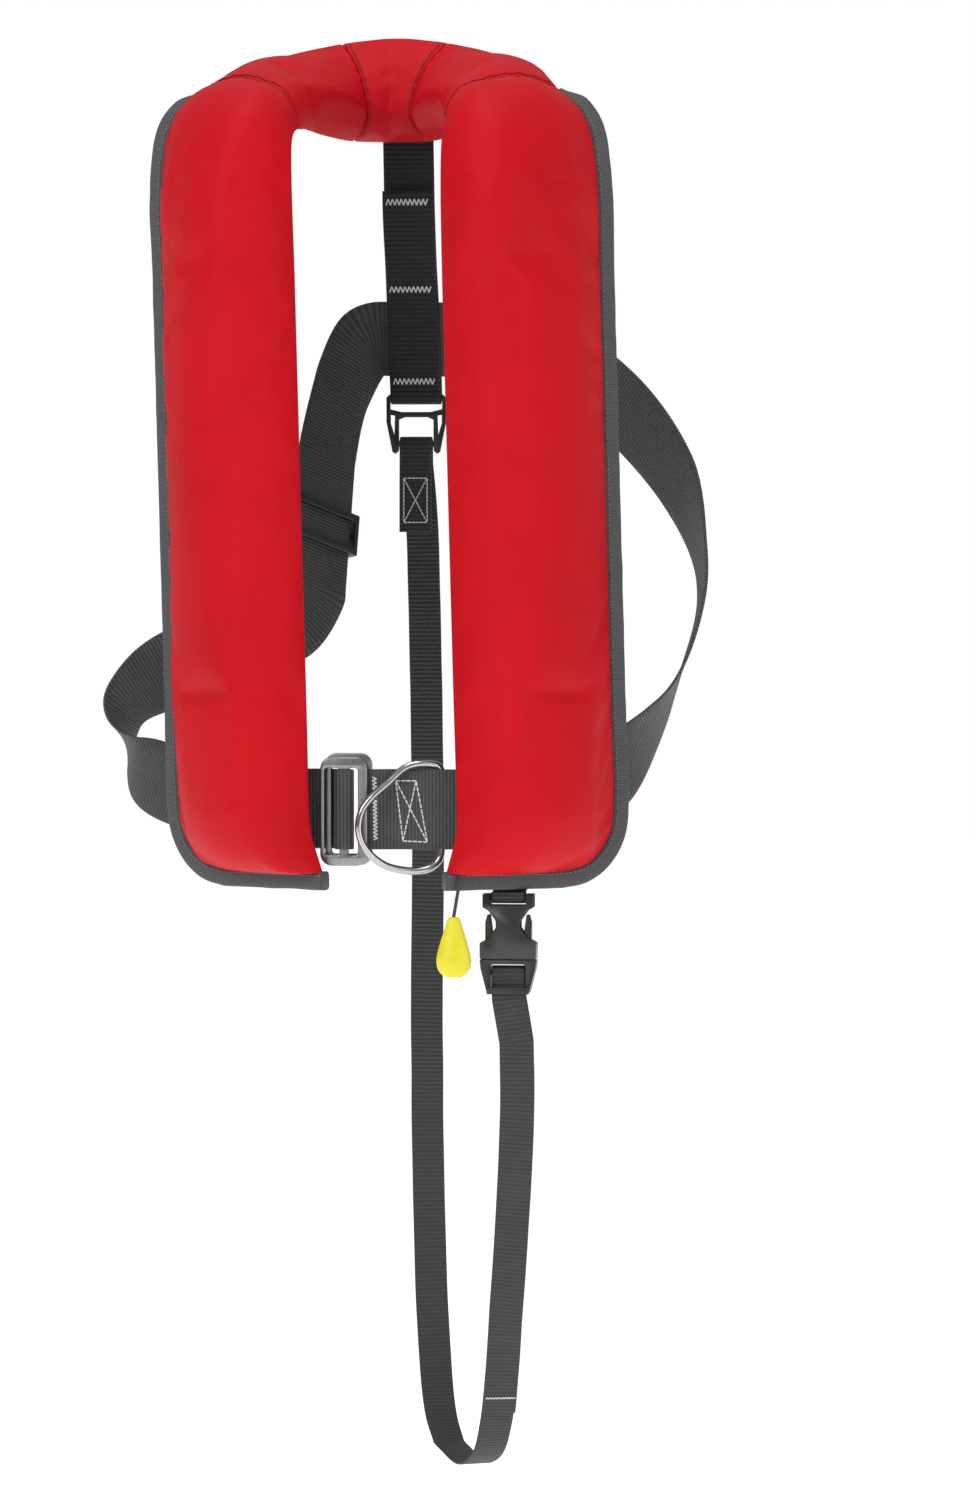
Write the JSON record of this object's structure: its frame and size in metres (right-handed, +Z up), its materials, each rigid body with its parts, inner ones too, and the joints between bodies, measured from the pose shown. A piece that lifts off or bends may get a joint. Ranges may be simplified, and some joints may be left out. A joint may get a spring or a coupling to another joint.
{
  "type": "inflatable life jacket",
  "caption": "Horseshoe-shaped inflatable life jacket with a webbing harness, steel chest frames, a lifeline ring, a pull handle and a buckled crotch strap.",
  "frame": {"origin": "middle of the neck opening, level with the collar's underside, where the jacket rests on its wearer", "axes": "+Z up the wearer's body, -Y the wearer's front, +X the wearer's left-hand side as seen from the front on the right"},
  "size_m": [0.3629, 0.2597, 0.8671],
  "materials": {
    "red_cover": "coated nylon, satin",
    "grey_tape": "woven binding tape",
    "back_fabric": "woven backing cloth",
    "charcoal_webbing": "ribbed webbing",
    "black_webbing": "ribbed webbing",
    "bladder_fabric": "coated cloth, welded",
    "stainless": "brushed and polished stainless steel",
    "cylinder_metal": "plated steel",
    "black_plastic": "moulded, fine texture",
    "yellow_plastic": "moulded, satin",
    "grey_plastic": "moulded",
    "black_rubber": "matt",
    "cord_fibre": "braided"
  },
  "bodies": {
    "jacket": {"right_front_cover": "red_cover", "right_shoulder_cover": "red_cover", "nape_cover": "red_cover", "left_shoulder_cover": "red_cover", "left_front_cover": "red_cover", "right_edge_binding": "grey_tape", "left_edge_binding": "grey_tape", "right_back_panel": "back_fabric", "left_back_panel": "back_fabric", "collar_back_panel": "back_fabric", "right_belt_loop": "back_fabric", "left_belt_loop": "back_fabric", "right_belt": "charcoal_webbing", "left_belt": "charcoal_webbing", "crotch_strap_rear": "charcoal_webbing", "socket_strap": "charcoal_webbing", "back_strap": "black_webbing", "bladder": "bladder_fabric", "rear_closure_frame": "stainless", "lever_pin": "stainless", "connector_ring": "black_plastic", "buckle_socket": "black_plastic", "oral_valve_body": "black_plastic", "whistle": "yellow_plastic", "inflator_body": "grey_plastic", "oral_tube": "black_rubber", "cylinder_seal": "black_rubber"},
    "handle": {"pull_cord": "cord_fibre", "pull_handle": "yellow_plastic"},
    "lever": {"firing_lever": "yellow_plastic"},
    "cylinder": {"co2_cylinder": "cylinder_metal"},
    "cartridge": {"auto_cartridge": "grey_plastic"},
    "poppet": {"oral_valve_poppet": "yellow_plastic"},
    "dust_cap": {"oral_valve_cap": "yellow_plastic"},
    "slider": {"belt_slider": "black_plastic"},
    "front_frame": {"front_closure_frame": "stainless"},
    "ring": {"lifeline_ring": "stainless"},
    "plug": {"buckle_plug": "black_plastic", "crotch_strap_front": "charcoal_webbing"},
    "prong_left": {"left_prong": "black_plastic"},
    "prong_right": {"right_prong": "black_plastic"}
  },
  "joints": [
    {"name": "handle_pull", "type": "slide", "parent": "jacket", "child": "handle", "axis": [-0.1629, -0.0308, -0.9862], "range_m": [0, 0.026]},
    {"name": "lever_turn", "type": "hinge", "parent": "jacket", "child": "lever", "pos_m": [0.07869, -0.08521, -0.3938], "axis": [-0.5628, 0.8266, 0], "range_deg": [-62, 0]},
    {"name": "cylinder_unscrew", "type": "hinge", "parent": "jacket", "child": "cylinder", "pos_m": [0.09424, -0.08853, -0.363], "axis": [0, 0, 1], "continuous": true},
    {"name": "cartridge_unscrew", "type": "hinge", "parent": "jacket", "child": "cartridge", "pos_m": [0.10465, -0.07539, -0.387], "axis": [0.8266, 0.5628, 0], "continuous": true},
    {"name": "poppet_press", "type": "slide", "parent": "jacket", "child": "poppet", "axis": [0, 0, -1], "range_m": [0, 0.003], "stiffness_N_per_m": 300, "springref_m": -0.001},
    {"name": "dust_cap_pull", "type": "slide", "parent": "jacket", "child": "dust_cap", "axis": [0, 0, 1], "range_m": [0, 0.015]},
    {"name": "slider_travel", "type": "slide", "parent": "jacket", "child": "slider", "axis": [-0.0229, -0.3435, -0.9389], "range_m": [-0.02, 0.02]},
    {"name": "front_frame_tilt", "type": "hinge", "parent": "jacket", "child": "front_frame", "pos_m": [-0.01885, -0.087, -0.3992], "axis": [0, 0, 1], "range_deg": [-8, 0]},
    {"name": "ring_swing", "type": "hinge", "parent": "jacket", "child": "ring", "pos_m": [0.038, -0.08, -0.398], "axis": [0, 0, 1], "range_deg": [0, 60]},
    {"name": "plug_release", "type": "slide", "parent": "jacket", "child": "plug", "axis": [0, 0, -1], "range_m": [0, 0.035]},
    {"name": "left_prong_squeeze", "type": "hinge", "parent": "plug", "child": "prong_left", "pos_m": [0.0666, -0.074, -0.4862], "axis": [0, 1, 0], "range_deg": [0, 6], "stiffness_Nm_per_rad": 0.3, "springref_deg": -2.86},
    {"name": "right_prong_squeeze", "type": "hinge", "parent": "plug", "child": "prong_right", "pos_m": [0.0874, -0.074, -0.4862], "axis": [0, 1, 0], "range_deg": [-6, 0]}
  ],
  "couplings": [
    {"joint": "lever_turn", "follows": "handle_pull", "rad_per_m": -40.276},
    {"joint": "right_prong_squeeze", "follows": "left_prong_squeeze", "ratio": -1}
  ]
}
